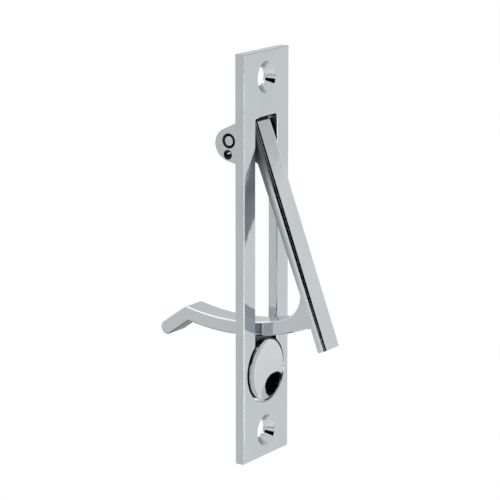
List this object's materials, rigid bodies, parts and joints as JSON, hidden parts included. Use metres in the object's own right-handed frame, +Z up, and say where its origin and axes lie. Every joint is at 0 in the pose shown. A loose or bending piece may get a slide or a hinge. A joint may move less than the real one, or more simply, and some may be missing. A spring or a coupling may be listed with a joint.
{
  "type": "edge pull",
  "caption": "Flush edge pull for a sliding door: slotted screw-on faceplate, hinged pull lever with a curved hooked arm, and a rocking dished thumb disc.",
  "frame": {"origin": "centre of the faceplate's back face, midway between the screw holes", "axes": "+Z up along the faceplate, +X to the right seen from the front, -Y out of the front"},
  "size_m": [0.019, 0.0474, 0.0984],
  "materials": {
    "plate_metal": "polished",
    "lever_metal": "polished",
    "pin_metal": "satin",
    "stop_metal": "blackened",
    "disc_metal": "polished"
  },
  "bodies": {
    "plate": {"faceplate": "plate_metal", "pivot_pin": "pin_metal", "stop_pin": "stop_metal"},
    "lever": {"pull_lever": "lever_metal"},
    "disc": {"thumb_disc": "disc_metal"}
  },
  "joints": [
    {"name": "lever_swing", "type": "hinge", "parent": "plate", "child": "lever", "pos_m": [0, 0.0042, 0.02801], "axis": [-1, 0, 0], "range_deg": [-20.5, 7]},
    {"name": "disc_rock", "type": "hinge", "parent": "plate", "child": "disc", "pos_m": [0, -0.00115, -0.03151], "axis": [-1, 0, 0], "range_deg": [-4, 11.6]}
  ],
  "couplings": [
    {"joint": "disc_rock", "follows": "lever_swing", "ratio": -0.56098}
  ]
}
